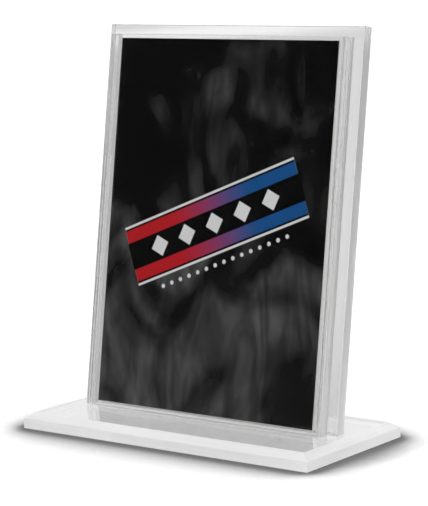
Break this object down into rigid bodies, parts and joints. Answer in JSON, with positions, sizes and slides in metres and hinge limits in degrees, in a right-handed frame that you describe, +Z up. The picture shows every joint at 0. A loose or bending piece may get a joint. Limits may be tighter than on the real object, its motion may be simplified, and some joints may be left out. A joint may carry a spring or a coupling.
{
  "type": "trading card display case",
  "caption": "Clear acrylic stand that holds one trading card upright, leaning back between two plates on a bevelled base; the card slides out at the top.",
  "frame": {"origin": "middle of the base's underside, on the surface the stand rests on", "axes": "+X along the width, to the viewer's right from the front; -Y towards the viewer, so +Y is the back; +Z up"},
  "size_m": [0.083, 0.0386, 0.0957],
  "materials": {
    "acrylic": "clear, polished",
    "card": "gloss printed"
  },
  "bodies": {
    "stand": {"base": "acrylic", "back_plate": "acrylic", "front_plate": "acrylic", "left_spacer": "acrylic", "right_spacer": "acrylic"},
    "card": {"card": "card"}
  },
  "joints": [
    {"name": "card_slide", "type": "slide", "parent": "stand", "child": "card", "axis": [0, 0.1564, 0.9877], "range_m": [0, 0.095]}
  ]
}
